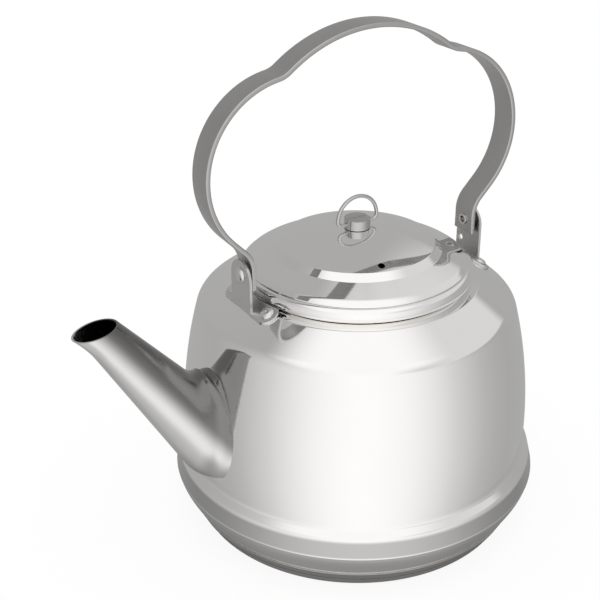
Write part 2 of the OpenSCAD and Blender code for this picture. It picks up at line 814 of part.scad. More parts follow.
module knob_ring() {
    bow_h = ring_pivot_z + ring_bend_r;
    end_x = ring_r - ring_bend_r;
    grip_x = knob_r - ring_grip;
    color(mirror_steel) {
        translate([0, 0, bow_h])
            wire_arc(ring_r, 180);
        for (turn = [0, 180])
            rotate([0, 0, turn]) {
                translate([end_x, 0, bow_h])
                    rotate([0, 90, 0])
                        wire_arc(ring_bend_r, 90);
                translate([grip_x, 0, ring_pivot_z])
                    rotate([0, 90, 0])
                        cylinder(d = wire_d, h = end_x - grip_x);
            }
    }
}

body_shell();
neck_ring();
base_core();
base_cap();
spout();
front_ear();
rear_ear();
front_ear_rivets();
rear_ear_rivets();
front_pivot();
rear_pivot();
front_washer();
rear_washer();
bail_handle();
lid_shell();
lid_collar();
knob();
knob_screw();
knob_washer();
knob_ring();
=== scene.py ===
import math

import bmesh
import bpy
from mathutils import Matrix, Vector


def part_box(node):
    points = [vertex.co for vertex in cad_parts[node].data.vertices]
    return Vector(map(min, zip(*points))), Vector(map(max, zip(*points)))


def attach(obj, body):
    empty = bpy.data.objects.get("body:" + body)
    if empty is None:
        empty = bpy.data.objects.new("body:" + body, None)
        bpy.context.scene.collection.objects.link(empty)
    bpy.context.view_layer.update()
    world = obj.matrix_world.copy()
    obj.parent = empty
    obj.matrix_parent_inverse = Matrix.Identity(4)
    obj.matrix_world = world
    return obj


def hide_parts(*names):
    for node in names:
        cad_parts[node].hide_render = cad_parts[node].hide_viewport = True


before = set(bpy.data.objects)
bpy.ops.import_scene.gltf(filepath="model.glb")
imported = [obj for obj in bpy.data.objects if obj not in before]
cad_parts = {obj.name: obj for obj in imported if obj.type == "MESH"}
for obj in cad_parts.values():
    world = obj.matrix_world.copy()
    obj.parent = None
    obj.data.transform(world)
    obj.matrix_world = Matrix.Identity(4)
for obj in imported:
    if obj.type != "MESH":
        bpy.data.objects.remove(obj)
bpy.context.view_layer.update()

# ---- body shell ----
# Deep-drawn stainless sheet, 0.8 mm thick: floor, rounded flank, rolled bead, gently bowed wall, tight
# shoulder turn, and a straight cone that ends in a narrow flat ledge under the neck ring. Spun and
# mirror polished; the wall is pierced with rows of strainer holes behind the spout.

SHELL_SIDES = 256
SHARP_EDGE = math.radians(32)
ON_AXIS = 1e-7
sheet = 0.0008
seat_gap = 0.00003
bead_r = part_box("body_shell")[1].x
bead_h = 0.031
bead_top_h = 0.0422
bead_lean = 0.0027
bead_full_r = 0.008
bead_edge_r = 0.004
waist_h = 0.0466
waist_bend_r = 0.003
wall_r = 0.1125
wall_full_h = 0.062
wall_bow_r = 0.31
shoulder_h = 0.1425
shoulder_turn_r = 0.012
seam_r = 0.1102
seam_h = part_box("base_cap")[1].z
floor_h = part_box("body_shell")[0].z
flank_power = 1.5
FLANK_STEPS = 24
neck_low, neck_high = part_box("neck_ring")
neck_roll_r = (neck_high.z - neck_low.z) / 2
neck_r = neck_high.x - neck_roll_r
neck_h = (neck_low.z + neck_high.z) / 2
ledge_r = 0.0775
ledge_bend_r = 0.0025
neck_seat_angle = math.radians(-37.5)


def on_circle(centre, radius, angle):
    """Point on a circle, as (radius from the axis, height)."""
    return (centre[0] + radius * math.cos(angle), centre[1] + radius * math.sin(angle))


def arc(centre, radius, start, end, steps):
    """Points on an arc between two angles, both ends included."""
    return [on_circle(centre, radius, start + (end - start) * i / steps) for i in range(steps + 1)]


def rounded(before, corner, after, radius, steps):
    """Points on the arc that rounds off a corner between the directions of its two neighbours."""
    to_before = (Vector(before) - Vector(corner)).normalized()
    to_after = (Vector(after) - Vector(corner)).normalized()
    half = to_before.angle(to_after) / 2
    centre = Vector(corner) + (to_before + to_after).normalized() * radius / math.sin(half)
    first = Vector(corner) + to_before * radius / math.tan(half) - centre
    last = Vector(corner) + to_after * radius / math.tan(half) - centre
    start = math.atan2(first.y, first.x)
    turn = (math.atan2(last.y, last.x) - start + 3 * math.pi) % (2 * math.pi) - math.pi
    return arc(centre, radius, start, start + turn, steps)


def inset(points, distance):
    """The same outline moved to its left, with its corners mitred."""
    moved = []
    for i, point in enumerate(points):
        sides = []
        for a, b in ((max(i - 1, 0), max(i, 1)), (min(i, len(points) - 2), min(i + 1, len(points) - 1))):
            along = Vector(points[b]) - Vector(points[a])
            sides.append(Vector((-along.y, along.x)).normalized())
        mitre = (sides[0] + sides[1]) / (1 + sides[0].dot(sides[1]))
        moved.append(tuple(Vector(point) + distance * mitre))
    return moved


def keep(name, mesh):
    """A new object of that mesh, shaded smooth except over its sharp edges."""
    mesh.name = name
    mesh.shade_smooth()
    mesh.set_sharp_from_angle(angle=SHARP_EDGE)
    piece = bpy.data.objects.new(name, mesh)
    bpy.context.scene.collection.objects.link(piece)
    return piece


def lathe(name, section):
    """A closed section of (radius, height) points turned about the Z axis."""
    form = bmesh.new()
    rings = []
    turns = [2 * math.pi * i / SHELL_SIDES for i in range(SHELL_SIDES)]
    for radius, height in section:
        if radius < ON_AXIS:
            rings.append([form.verts.new((0, 0, height))] * SHELL_SIDES)
        else:
            rings.append([form.verts.new((radius * math.cos(turn), radius * math.sin(turn), height))
                          for turn in turns])
    for k, ring in enumerate(rings):
        above = rings[(k + 1) % len(rings)]
        for i in range(SHELL_SIDES):
            j = (i + 1) % SHELL_SIDES
            corners = list(dict.fromkeys((ring[i], ring[j], above[j], above[i])))
            if len(corners) > 2:
                form.faces.new(corners)
    bmesh.ops.recalc_face_normals(form, faces=form.faces)
    mesh = bpy.data.meshes.new(name)
    form.to_mesh(mesh)
    form.free()
    return keep(name, mesh)


def bored(piece, cutters):
    """Takes the cutters' space out of a piece, and removes the cutters."""
    for cutter in cutters:
        hole = piece.modifiers.new("hole", "BOOLEAN")
        hole.operation = "DIFFERENCE"
        hole.solver = "EXACT"
        hole.object = cutter
        mesh = bpy.data.meshes.new_from_object(piece.evaluated_get(bpy.context.evaluated_depsgraph_get()))
        piece.modifiers.remove(hole)
        piece.data = mesh
        bpy.data.objects.remove(cutter)
    return piece


def pins(name, places, radius, sides=24):
    """One mesh of round pins, each between the two ends that places gives."""
    form = bmesh.new()
    for start, end in places:
        along = Vector(end) - Vector(start)
        turn = along.to_track_quat("Z", "Y").to_matrix().to_4x4()
        middle = (Vector(start) + Vector(end)) / 2
        bmesh.ops.create_cone(form, cap_ends=True, segments=sides, radius1=radius, radius2=radius,
                              depth=along.length, matrix=Matrix.Translation(middle) @ turn)
    mesh = bpy.data.meshes.new(name)
    form.to_mesh(mesh)
    form.free()
    piece = bpy.data.objects.new(name, mesh)
    bpy.context.scene.collection.objects.link(piece)
    return piece


wall_centre = (wall_r - wall_bow_r, wall_full_h)
wall_end = math.asin((shoulder_h - wall_full_h) / wall_bow_r)
waist = on_circle(wall_centre, wall_bow_r, math.asin((waist_h - wall_full_h) / wall_bow_r))
turn_centre = on_circle(wall_centre, wall_bow_r - shoulder_turn_r, wall_end)
shoulder_top = on_circle((neck_r, neck_h), neck_roll_r + seat_gap, neck_seat_angle)
to_neck = Vector(shoulder_top) - Vector(turn_centre)
turn_end = math.atan2(to_neck.y, to_neck.x) - math.acos(shoulder_turn_r / to_neck.length)
shoulder_fall = math.tan(math.pi / 2 - turn_end)
ledge_out = (ledge_r, shoulder_top[1] - shoulder_fall * (ledge_r - shoulder_top[0]))
ledge_in = (neck_r, neck_h - neck_roll_r - seat_gap)
flank_angle = math.atan((bead_h - seam_h) / (flank_power * (bead_r - seam_r)))
floor_turn_r = (seam_h - floor_h) / (1 - math.cos(flank_angle))
floor_flat_r = seam_r - floor_turn_r * math.sin(flank_angle)

floor_part = [(0, floor_h)] + arc((floor_flat_r, floor_h + floor_turn_r), floor_turn_r,
                                  -math.pi / 2, flank_angle - math.pi / 2, 8)
flank_part = [(bead_r - (bead_r - seam_r) * (1 - i / FLANK_STEPS) ** flank_power,
               bead_h - (bead_h - seam_h) * (1 - i / FLANK_STEPS)) for i in range(1, FLANK_STEPS - 1)]
bead_full = (bead_r, bead_h)
bead_edge = (bead_r - bead_lean, bead_top_h)
bead_part = (rounded((bead_r, 0), bead_full, bead_edge, bead_full_r, 8)
             + rounded(bead_full, bead_edge, waist, bead_edge_r, 14)
             + rounded(bead_edge, waist, (waist[0], 1), waist_bend_r, 12))
wall_start = math.asin((bead_part[-1][1] - wall_full_h) / wall_bow_r)
wall_part = arc(wall_centre, wall_bow_r, wall_start, wall_end, 36)[1:]
turn_part = arc(turn_centre, shoulder_turn_r, wall_end, turn_end, 20)[1:]
ledge_part = rounded(turn_part[-1], ledge_out, ledge_in, ledge_bend_r, 8) + [ledge_in]
body_outline = floor_part + flank_part + bead_part + wall_part + turn_part + ledge_part


def wall_radius(height):
    """Outer radius of the body at a height, or that of its neck above it."""
    for low, high in zip(body_outline[1:], body_outline[2:]):
        if low[1] <= height <= high[1] and high[1] > low[1]:
            return low[0] + (high[0] - low[0]) * (height - low[1]) / (high[1] - low[1])
    return neck_r


class Value:
    """A node's output, on which Python's arithmetic adds Math nodes to the same tree."""

    def __init__(self, tree, socket=None):
        self.tree = tree
        self.socket = socket

    def node(self, kind, settings=None, inputs=None, output=0):
        """Adds a node: its settings first, then its sockets' values or links."""
        made = self.tree.nodes.new(kind)
        for name, setting in (settings or {}).items():
            if name == "stops":
                ramp = made.color_ramp.elements
                while len(ramp) < len(setting):
                    ramp.new(0.5)
                for stop, (place, colour) in zip(ramp, setting):
                    stop.position = place
                    stop.color = (*colour, 1) if isinstance(colour, tuple) else (colour,) * 3 + (1,)
            else:
                setattr(made, name, setting)
        for name, value in (inputs or {}).items():
            if isinstance(value, Value):
                self.tree.links.new(value.socket, made.inputs[name])
            else:
                made.inputs[name].default_value = value
        return Value(self.tree, made.outputs[output] if made.outputs else None)

    def math(self, operation, *others):
        return self.node("ShaderNodeMath", {"operation": operation}, dict(enumerate((self, *others))))

    def __add__(self, other):
        return self.math("ADD", other)

    def __radd__(self, other):
        return self.math("ADD", other)

    def __sub__(self, other):
        return self.math("SUBTRACT", other)

    def __rsub__(self, other):
        return self.node("ShaderNodeMath", {"operation": "SUBTRACT"}, {0: other, 1: self})

    def __mul__(self, other):
        return self.math("MULTIPLY", other)

    def __rmul__(self, other):
        return self.math("MULTIPLY", other)

    def __truediv__(self, other):
        return self.math("DIVIDE", other)


def steel(name, colour, roughness, clouding, line_scale, line_depth, line_tone=0.0, painted_shading=None):
    """Stainless sheet: faint clouding in its tone and gloss, and fine lines left by the polishing wheel.

    line_scale is the frequency of the lines along X, Y and Z, so they run along the axis that it
    leaves lowest; line_depth is how deep they are in metres, and line_tone how much they darken.
    The last argument, if given, is a function of the place that gives the share of its tone that the sheet
    keeps there: shade painted into its colour.
    """
    material = bpy.data.materials.new(name)
    material.use_nodes = True
    tree = material.node_tree
    tree.nodes.clear()
    start = Value(tree)
    place = start.node("ShaderNodeTexCoord", output="Object")
    cloud = start.node("ShaderNodeTexNoise", {"noise_dimensions": "3D"},
                       {"Vector": place, "Scale": 26.0, "Detail": 3.0, "Roughness": 0.55})
    stretched = start.node("ShaderNodeMapping", None, {"Vector": place, "Scale": line_scale})
    lines = start.node("ShaderNodeTexNoise", {"noise_dimensions": "3D"},
                       {"Vector": stretched, "Scale": 1.0, "Detail": 2.0, "Roughness": 0.6})
    tone = 1 - clouding * cloud - line_tone * lines
    if painted_shading:
        tone = tone * painted_shading(place)
    shade = start.node("ShaderNodeVectorMath", {"operation": "SCALE"},
                       {0: colour, "Scale": tone})
    bump = start.node("ShaderNodeBump", None, {"Height": lines, "Distance": line_depth, "Strength": 1.0})
    finish = start.node("ShaderNodeBsdfPrincipled", None,
                        {"Base Color": shade, "Metallic": 1.0, "Normal": bump,
                         "Roughness": roughness * (0.8 + 0.4 * cloud)})
    start.node("ShaderNodeOutputMaterial", None, {"Surface": finish})
    return material


def dressed(piece, material, body, slot, *nodes):
    """Gives a piece its one material, its body and the CAD nodes it stands for; the slot is not used."""
    piece.data.materials.clear()
    piece.data.materials.append(material)
    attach(piece, body)
    if nodes:
        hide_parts(*nodes)
    return piece


MIRROR_FINISH = ((0.97, 0.96, 0.945), 0.05, 0.03, (40, 40, 900), 0.000002)
mirror_steel = steel("mirror_steel", *MIRROR_FINISH)


# Painted shade: a band round the side of the bead is darkened in the body's colour.
BEAD_PAINTED_SHADE = 0.45
bead_dim_starts = (0.0300, 0.0316)
bead_dim_ends = (0.0395, 0.0420)


def between(value, start, end, first=0.0, last=1.0):
    """Passes smoothly from the first to the last level while the value goes from start to end."""
    return value.node("ShaderNodeMapRange", {"interpolation_type": "SMOOTHSTEP"},
                      {"Value": value, "From Min": start, "From Max": end, "To Min": first, "To Max": last})


def bead_painted_shade(place):
    """Share of its tone that the body keeps: painted shade darkening a band round the side of the bead, in
    place of the darker reflection there.
    """
    height = place.node("ShaderNodeSeparateXYZ", None, {0: place}, output="Z")
    return 1 - BEAD_PAINTED_SHADE * between(height, *bead_dim_starts) * between(height, *bead_dim_ends, 1.0, 0.0)


body_steel = steel("body_steel", *MIRROR_FINISH, painted_shading=bead_painted_shade)

hole_d = 0.006
hole_pitch = 0.011
spout_root_top = 0.1156
spout_root_bottom = 0.037
spout_root_w = 0.070
strainer_half_h = (spout_root_top - waist_h) / 2 - hole_d
strainer_half_w = spout_root_w / 2 - hole_d
strainer_rows = int(strainer_half_h / hole_pitch)
strainer_columns = int(strainer_half_w / hole_pitch)
hole_places = []
for row in range(-strainer_rows, strainer_rows + 1):
    for column in range(-strainer_columns, strainer_columns + 1):
        if math.hypot(row * hole_pitch / strainer_half_h, column * hole_pitch / strainer_half_w) <= 1:
            y = column * hole_pitch
            z = (spout_root_top + waist_h) / 2 + row * hole_pitch
            hole_places.append(((-0.5 * wall_r, y, z), (-1.2 * wall_r, y, z)))

body = lathe("kettle_body", body_outline + inset(body_outline, sheet)[::-1])
bored(body, [pins("strainer_pins", hole_places, hole_d / 2)])
body.data.set_sharp_from_angle(angle=SHARP_EDGE)
dressed(body, body_steel, "kettle", "body_steel", "body_shell")

# ---- neck ring ----
# The mouth's edge is rolled outward into a hollow bead, the bright ring that the lid sits on.
# It is rolled from the same sheet and polished with the body.

neck = lathe("neck_roll", arc((neck_r, neck_h), neck_roll_r, 0, 2 * math.pi, 64)[:-1])
dressed(neck, mirror_steel, "kettle", "body_steel", "neck_ring")

# ---- base ----
# An aluminium disc that spreads the heat lies under the floor, closed by a pressed steel cap.
# The cap keeps a plain, darker finish, with a fine groove round it; its rim meets the body in a seam.

cap_t = 0.0008
cap_corner_r = 0.0016
base_r = 0.105
cap_rim_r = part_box("base_cap")[1].x
cap_lip_r = 0.00015
cap_lean = (cap_rim_r - base_r) / seam_h
groove_h = 0.0068
groove_w = 0.0009
groove_d = 0.0009
groove = [(base_r + cap_lean * (groove_h + across * groove_w) - depth * groove_d,
           groove_h + across * groove_w)
          for across, depth in ((-0.5, 0), (-0.25, 1), (0.25, 1), (0.5, 0))]
cap_outer = ([(0, 0)] + arc((base_r - cap_corner_r, cap_corner_r), cap_corner_r, -math.pi / 2, 0, 8)
             + groove + [(cap_rim_r, seam_h - cap_lip_r), (cap_rim_r - cap_lip_r, seam_h)])
cap_inner = [(seam_r + seat_gap, seam_h), (base_r - 3 * cap_t, 2 * cap_corner_r),
             (base_r - 4 * cap_t, cap_t), (0, cap_t)]
cap = lathe("base_pan", cap_outer + cap_inner)
base_steel = steel("base_steel", (0.60, 0.585, 0.57), 0.22, 0.10, (60, 60, 2600), 0.000004, 0.06)
dressed(cap, base_steel, "kettle", "base_steel", "base_cap")
core_metal = steel("core_aluminium", (0.78, 0.79, 0.80), 0.4, 0.08, (900, 900, 60), 0.00001)
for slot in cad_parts["base_core"].material_slots:
    slot.material = core_metal

# ---- spout ----
# An oval cone of sheet steel with a seam-welded flare where it meets the wall and a tilted mouth
# whose front edge curls into a pouring lip. Its flanks are ground to a satin and lightly buffed.

SPOUT_SIDES = 128
SPOUT_RIBS = 72
spout_reach = 0.1756
spout_mouth_h = 0.1688
spout_mouth_tilt = math.radians(10.5)
spout_mouth_len = 0.028
spout_mouth_w = 0.0214
spout_lip = 0.0036
spout_foot_w = 0.057
spout_tuck = 0.015
spout_sweep = 0.007
spout_t = 0.001
sweep_reach = 0.22
tuck_reach = 0.2
lip_reach = 0.12
fillet_reach = 0.0075
fillet_rise = 0.0034
spout_sink = 0.0003
spout_search = (-0.14, 0.35)
SEARCH_STEPS = 40
fillet_loss = 0.6
spout_slant = 1.2
spout_root_inset = 0.002
spout_root_x = wall_r - spout_root_inset
mouth_half = spout_mouth_len / 2 * Vector((math.cos(spout_mouth_tilt), math.sin(spout_mouth_tilt)))
mouth_back = Vector((-spout_reach, spout_mouth_h)) + mouth_half
mouth_front = Vector((-spout_reach + spout_lip, spout_mouth_h)) - mouth_half
root_back = Vector((-spout_root_x, spout_root_top))
root_front = Vector((-spout_root_x, spout_root_bottom))


def spout_point(u, turn, sheet_in):
    """Point on the spout at a share u of the way from the root to the mouth, in a direction round it."""
    back = root_back.lerp(mouth_back, u)
    front = root_front.lerp(mouth_front, u)
    back.y += spout_sweep * max(0.0, 1 - max(u, 0) / sweep_reach) ** 2
    front.x += spout_tuck * max(0.0, 1 - max(u, 0) / tuck_reach) ** 2
    front.x -= spout_lip * max(0.0, (u - 1 + lip_reach) / lip_reach) ** 2
    half = (back - front) / 2
    half *= 1 - spout_slant * sheet_in / half.length
    half_w = (spout_foot_w + (spout_mouth_w - spout_foot_w) * u) / 2 - sheet_in
    middle = Vector(((back.x + front.x) / 2, 0, (back.y + front.y) / 2))
    out = Vector((half.x * math.cos(turn), half_w * math.sin(turn), half.y * math.cos(turn)))
    point = middle + out
    clear = math.hypot(point.x, point.y) - wall_radius(point.z)
    if -fillet_reach < clear < fillet_reach:
        rise = fillet_rise * (1 - fillet_loss * math.cos(turn) ** 2)
        rise *= (1 - max(clear, 0.0) / fillet_reach) ** 2
        point += out.normalized() * rise
    return point


def spout_start(turn, sheet_in, depth):
    """The share u at which the spout's skin has sunk a depth into the wall."""
    low, high = spout_search
    for _ in range(SEARCH_STEPS):
        u = (low + high) / 2
        point = spout_point(u, turn, sheet_in)
        if math.hypot(point.x, point.y) > wall_radius(point.z) - depth:
            high = u
        else:
            low = u
    return (low + high) / 2


form = bmesh.new()
spout_rings = []
for sheet_in, shares in ((0.0, range(SPOUT_RIBS + 1)), (spout_t, range(SPOUT_RIBS, -1, -1))):
    starts = [spout_start(2 * math.pi * i / SPOUT_SIDES, sheet_in, spout_sink) for i in range(SPOUT_SIDES)]
    for k in shares:
        share = k / SPOUT_RIBS
        ring = []
        for i in range(SPOUT_SIDES):
            turn = 2 * math.pi * i / SPOUT_SIDES
            u = starts[i] + (1 - starts[i]) * share
            ring.append(form.verts.new(spout_point(u, turn, sheet_in)))
        spout_rings.append(ring)
for ring, following in zip(spout_rings, spout_rings[1:] + spout_rings[:1]):
    for i in range(SPOUT_SIDES):
        j = (i + 1) % SPOUT_SIDES
        form.faces.new((ring[i], ring[j], following[j], following[i]))
bmesh.ops.recalc_face_normals(form, faces=form.faces)
spout_mesh = bpy.data.meshes.new("spout_cone")
form.to_mesh(spout_mesh)
form.free()
spout = keep("spout_cone", spout_mesh)


# Painted shade: the spout's back, towards the lid, is darkened in its colour.
spout_back_axis = (0.8, 0, 0.6)
spout_back_starts = (-0.045, -0.034)
spout_back_painted_tone = 0.30


def spout_painted_shade(place):
    """Share of its tone that the spout keeps: painted shade darkening its back, towards the lid, against its
    front.
    """
    backward = place.node("ShaderNodeVectorMath", {"operation": "DOT_PRODUCT"},
                          {0: place, 1: spout_back_axis}, output="Value")
    return between(backward, *spout_back_starts, 1.0, spout_back_painted_tone)


spout_steel = steel("spout_steel", (0.82, 0.81, 0.795), 0.16, 0.08, (500, 60, 500), 0.000004, 0.03, spout_painted_shade)
dressed(spout, spout_steel, "kettle", "spout_steel", "spout")

# ---- ears ----
# Two pressed brackets, each bent to a flat foot with two round lobes riveted to the shoulder.
# Their upright plates carry the bail's pivots; their edges are tumbled, so they catch the light.

joined_within = 2e-6
flat_within = math.radians(1.5)
bevelled_from = math.radians(30)


def softened(name, node, width):
    """A copy of a CAD node with its loose triangles joined and its edges rounded."""
    form = bmesh.new()
    form.from_mesh(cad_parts[node].data)
    bmesh.ops.remove_doubles(form, verts=form.verts, dist=joined_within)
    bmesh.ops.dissolve_limit(form, angle_limit=flat_within, verts=form.verts, edges=form.edges)
    mesh = bpy.data.meshes.new(name)
    form.to_mesh(mesh)
    form.free()
    piece = keep(name, mesh)
    rounding = piece.modifiers.new("rounding", "BEVEL")
    rounding.width = width
    rounding.segments = 3
    rounding.limit_method = "ANGLE"
    rounding.angle_limit = bevelled_from
    rounding.harden_normals = True
    mesh = bpy.data.meshes.new_from_object(piece.evaluated_get(bpy.context.evaluated_depsgraph_get()))
    piece.modifiers.remove(rounding)
    piece.data = mesh
    return piece


ear_steel = steel("ear_steel", (0.74, 0.73, 0.715), 0.3, 0.12, (1400, 60, 1400), 0.000012, 0.06)
for side in ("front", "rear"):
    ear = softened(f"{side}_bracket", f"{side}_ear", 0.00035)
    dressed(ear, ear_steel, "kettle", "ear_steel", f"{side}_ear")

# ---- foot rivets ----
# Four round-head steel rivets clench the feet to the shoulder.
# Each has a low domed head outside and a flat set head inside the shell.

rivet_steel = steel("rivet_steel", (0.80, 0.79, 0.775), 0.2, 0.10, (300, 300, 300), 0.000010)
for side in ("front", "rear"):
    rivets = softened(f"{side}_foot_rivets", f"{side}_ear_rivets", 0.0002)
    dressed(rivets, rivet_steel, "kettle", "rivet_steel", f"{side}_ear_rivets")

# ---- pivots ----
# Tubular steel rivets held in the ears, on which the bail turns.
# A thin washer on each holds the strip off its ear.

for side in ("front", "rear"):
    for part in ("pivot", "washer"):
        piece = softened(f"{side}_{part}_turned", f"{side}_{part}", 0.00018)
        dressed(piece, rivet_steel, "kettle", "rivet_steel", f"{side}_{part}")

# ---- bail ----
# One strip of 18 x 3 mm stainless, bent cold through tangent arcs: a flat crown for the hand, a dent
# on each side of it, two wide side loops and an ankle above each pivot. Brushed along its length.

bail_low, bail_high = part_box("bail_handle")
bail_w = bail_high.y - bail_low.y
bail_t = 0.003
bail_edge_r = 0.0009
bail_mid = (bail_low.x + bail_high.x) / 2
bail_end_r = 0.0815
crown = (0.0915, math.radians(-37.4), 26)
dent = (0.0165, math.radians(28), 18)
loop = (0.0552, math.radians(-125), 80)
ankle_r = 0.017
ankle_h = 0.0047
pivot_h = 0.181
pivot_hole_r = 0.00305


def bend(points, heading, radius, turn, steps):
    """Adds an arc to a path, to the left if turn is positive, and returns the new heading."""
    side = math.copysign(1, turn)
    start = points[-1]
    centre = (start[0] - side * radius * math.sin(heading), start[1] + side * radius * math.cos(heading))
    first = heading - side * math.pi / 2
    points.extend(arc(centre, radius, first, first + turn, steps)[1:])
    return heading + turn


half_path = [(0.0, bail_high.z - bail_t / 2)]
heading = 0.0
for radius, turn, steps in (crown, dent, loop):
    heading = bend(half_path, heading, radius, turn, steps)
ankle_turn = -math.pi / 2 - heading
leg_x = bail_end_r + ankle_r * (1 - math.cos(ankle_turn))
leg_z = pivot_h + ankle_h + ankle_r * math.sin(ankle_turn)
half_path.append((leg_x, leg_z))
bend(half_path, heading, ankle_r, ankle_turn, 20)
half_path.append((bail_end_r, bail_low.z))
bail_path = [(-x, z) for x, z in half_path[:0:-1]] + half_path


def path_object(name, points):
    """A mesh of one chain of edges through the points."""
    mesh = bpy.data.meshes.new(name)
    mesh.from_pydata(points, [(i, i + 1) for i in range(len(points) - 1)], [])
    piece = bpy.data.objects.new(name, mesh)
    bpy.context.scene.collection.objects.link(piece)
    return piece


def grown(piece, tree, values):
    """Runs a Geometry Nodes tree on a piece and leaves its result as a plain mesh."""
    growth = piece.modifiers.new("growth", "NODES")
    growth.node_group = tree
    sockets = {item.name: item.identifier for item in tree.interface.items_tree}
    for name, value in values.items():
        growth[sockets[name]] = value
    mesh = bpy.data.meshes.new_from_object(piece.evaluated_get(bpy.context.evaluated_depsgraph_get()))
    piece.modifiers.remove(growth)
    name = piece.name
    bpy.data.objects.remove(piece)
    return keep(name, mesh)


def growth_tree(name, inputs):
    """An empty Geometry Nodes tree with named inputs, and its Value for each of them."""
    tree = bpy.data.node_groups.new(name, "GeometryNodeTree")
    tree.interface.new_socket("Geometry", in_out="INPUT", socket_type="NodeSocketGeometry")
    for label, kind in inputs.items():
        tree.interface.new_socket(label, in_out="INPUT", socket_type=kind)
    tree.interface.new_socket("Geometry", in_out="OUTPUT", socket_type="NodeSocketGeometry")
    entry = tree.nodes.new("NodeGroupInput")
    return tree, {socket.name: Value(tree, socket) for socket in entry.outputs if socket.name}


def finish_tree(tree, shape, material):
    """Ends a tree: real geometry, one material, then the output."""
    real = shape.node("GeometryNodeRealizeInstances", None, {"Geometry": shape})
    painted = shape.node("GeometryNodeSetMaterial", None, {"Geometry": real, "Material": material})
    shape.node("NodeGroupOutput", None, {"Geometry": painted})


strip_tree, strip = growth_tree("strip_along_path", {
    "Width": "NodeSocketFloat", "Thickness": "NodeSocketFloat", "Edge radius": "NodeSocketFloat",
    "Material": "NodeSocketMaterial"})
start = Value(strip_tree)
line = start.node("GeometryNodeMeshToCurve", None, {"Mesh": strip["Geometry"]})
line = start.node("GeometryNodeSetCurveNormal", {"mode": "Z_UP"}, {"Curve": line})
blank = start.node("GeometryNodeCurvePrimitiveQuadrilateral", None,
                   {"Width": strip["Thickness"], "Height": strip["Width"]})
blank = start.node("GeometryNodeFilletCurve", {"mode": "POLY"},
                   {"Curve": blank, "Radius": strip["Edge radius"], "Count": 6})
body_of_strip = start.node("GeometryNodeCurveToMesh", None,
                           {"Curve": line, "Profile Curve": blank, "Fill Caps": True})
finish_tree(strip_tree, body_of_strip, strip["Material"])

bail_steel = steel("bail_steel", (0.60, 0.59, 0.575), 0.27, 0.14, (60, 2600, 60), 0.000010, 0.16)
bail = grown(path_object("bail_strip", [(x, z, 0) for x, z in bail_path]), strip_tree,
             {"Width": bail_w, "Thickness": bail_t, "Edge radius": bail_edge_r, "Material": bail_steel})
bail.data.transform(Matrix.Translation((bail_mid, 0, 0)) @ Matrix.Rotation(math.pi / 2, 4, "X"))
bail_pins = [((bail_mid + side * (bail_end_r - bail_t), 0, pivot_h),
              (bail_mid + side * (bail_end_r + bail_t), 0, pivot_h)) for side in (-1, 1)]
bored(bail, [pins("pivot_pins", bail_pins, pivot_hole_r, 48)])
dressed(bail, bail_steel, "bail", "bail_steel", "bail_handle")

# ---- lid ----
# Pressed from one disc: a domed middle, a small step, and a straight cone whose rounded rim rests
# on the neck ring. A steam vent is pierced near the edge of the dome. Mirror polished like the body.

lid_t = 0.0008
lid_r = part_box("lid_shell")[1].x
lid_top_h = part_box("lid_shell")[1].z
lid_edge_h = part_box("lid_shell")[0].z
disc_r = 0.049
disc_rise = 0.0092
step_w = 0.0042
step_h = 0.0039
skirt_fall = 0.0078
cone_tilt = math.radians(23)
rim_w = 0.0031
step_bend_r = 0.0014
rim_round_r = 0.012
vent_d = 0.0043
vent_azimuth = math.radians(-104)
vent_edge_gap = 0.005
vent_r = disc_r - vent_edge_gap


def bow(start, end, rise, steps):
    """Points on the arc between two points that stands proud of their chord by rise."""
    start, end = Vector(start), Vector(end)
    chord = end - start
    left = Vector((-chord.y, chord.x)).normalized()
    radius = (chord.length_squared / 4 + rise * rise) / (2 * rise)
    centre = (start + end) / 2 - left * (radius - rise)
    spread = math.asin(chord.length / 2 / radius)
    middle = math.atan2(left.y, left.x)
    return arc(centre, radius, middle + spread, middle - spread, steps)


press = (lid_top_h - lid_edge_h - lid_t) / (disc_rise + step_h + skirt_fall)
disc_edge = (disc_r, lid_top_h - press * disc_rise)
step_foot = (disc_r + step_w, disc_edge[1] - press * step_h)
rim_edge = (lid_r - rim_w, step_foot[1] - press * math.tan(cone_tilt) * (lid_r - rim_w - step_foot[0]))
skirt_edge = (lid_r, lid_edge_h + lid_t)
disc_part = [(0, lid_top_h)] + bow((0, lid_top_h), disc_edge, press * disc_rise / 4, 24)[1:]
lid_skin = ([point for point in disc_part if point[0] < disc_r - step_bend_r]
            + rounded(disc_part[-2], disc_edge, step_foot, step_bend_r, 10)
            + rounded(disc_edge, step_foot, rim_edge, step_bend_r, 10)
            + rounded(step_foot, rim_edge, skirt_edge, rim_round_r, 12) + [skirt_edge])
lid_under = [(max(r, 0), z) for r, z in inset(lid_skin, -lid_t) if r < lid_r - lid_t]
lid = lathe("lid_cover", lid_skin + [(lid_r, lid_edge_h), (lid_r - lid_t, lid_edge_h)] + lid_under[::-1])
vent = (vent_r * math.cos(vent_azimuth), vent_r * math.sin(vent_azimuth))
bored(lid, [pins("vent_pin", [((*vent, lid_edge_h), (*vent, lid_top_h))], vent_d / 2, 32)])
lid.data.set_sharp_from_angle(angle=SHARP_EDGE)
dressed(lid, mirror_steel, "lid", "lid_steel", "lid_shell")

collar_steel = steel("collar_steel", (0.70, 0.69, 0.68), 0.3, 0.10, (60, 60, 1500), 0.000010, 0.05)
for node in ("lid_collar", "knob_screw", "knob_washer"):
    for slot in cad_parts[node].material_slots:
        slot.material = collar_steel

# ---- knob ----
# A turned steel button with a shallow groove across its top and a cross hole for the wire ring.
# It is screwed to the lid from below; its rim is broken by a fine chamfer.

